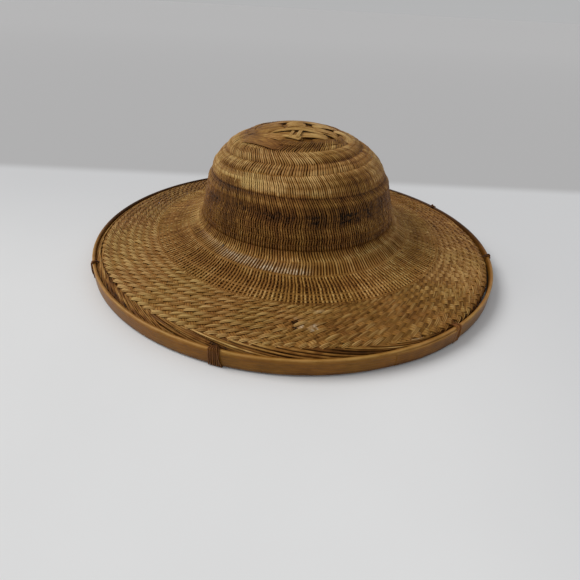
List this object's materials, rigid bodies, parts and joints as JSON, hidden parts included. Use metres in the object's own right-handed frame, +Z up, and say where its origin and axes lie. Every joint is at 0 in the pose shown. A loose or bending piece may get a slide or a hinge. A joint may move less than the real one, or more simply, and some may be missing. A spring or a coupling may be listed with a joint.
{
  "type": "rice paddy hat",
  "caption": "Wide woven bamboo rice paddy hat with a domed crown, an open flare, a twill brim and a bamboo hoop lashed round its rim.",
  "frame": {"origin": "on the ground under the middle of the hoop", "axes": "+Z up through the crown, -Y towards the picture's camera, +X to the camera's right"},
  "size_m": [0.4, 0.4, 0.128],
  "materials": {
    "plait": "aged split bamboo, satin",
    "crown_weave": "aged split bamboo, stained in bands, satin",
    "flare_weave": "aged split bamboo, worn pale in places, satin",
    "twill": "aged split bamboo, satin",
    "edge_strips": "aged split bamboo, satin",
    "hoop_bamboo": "smooth bamboo, soft gloss",
    "cane": "dark split cane, satin"
  },
  "bodies": {
    "root": {"crown_plait": "plait", "crown_top": "crown_weave", "crown_shoulder": "crown_weave", "crown_wall": "crown_weave", "flare": "flare_weave", "brim": "twill", "brim_edge": "edge_strips", "hoop": "hoop_bamboo", "lashing_1": "cane", "lashing_2": "cane", "lashing_3": "cane", "lashing_4": "cane", "lashing_5": "cane", "lashing_6": "cane", "lashing_7": "cane"}
  },
  "joints": []
}
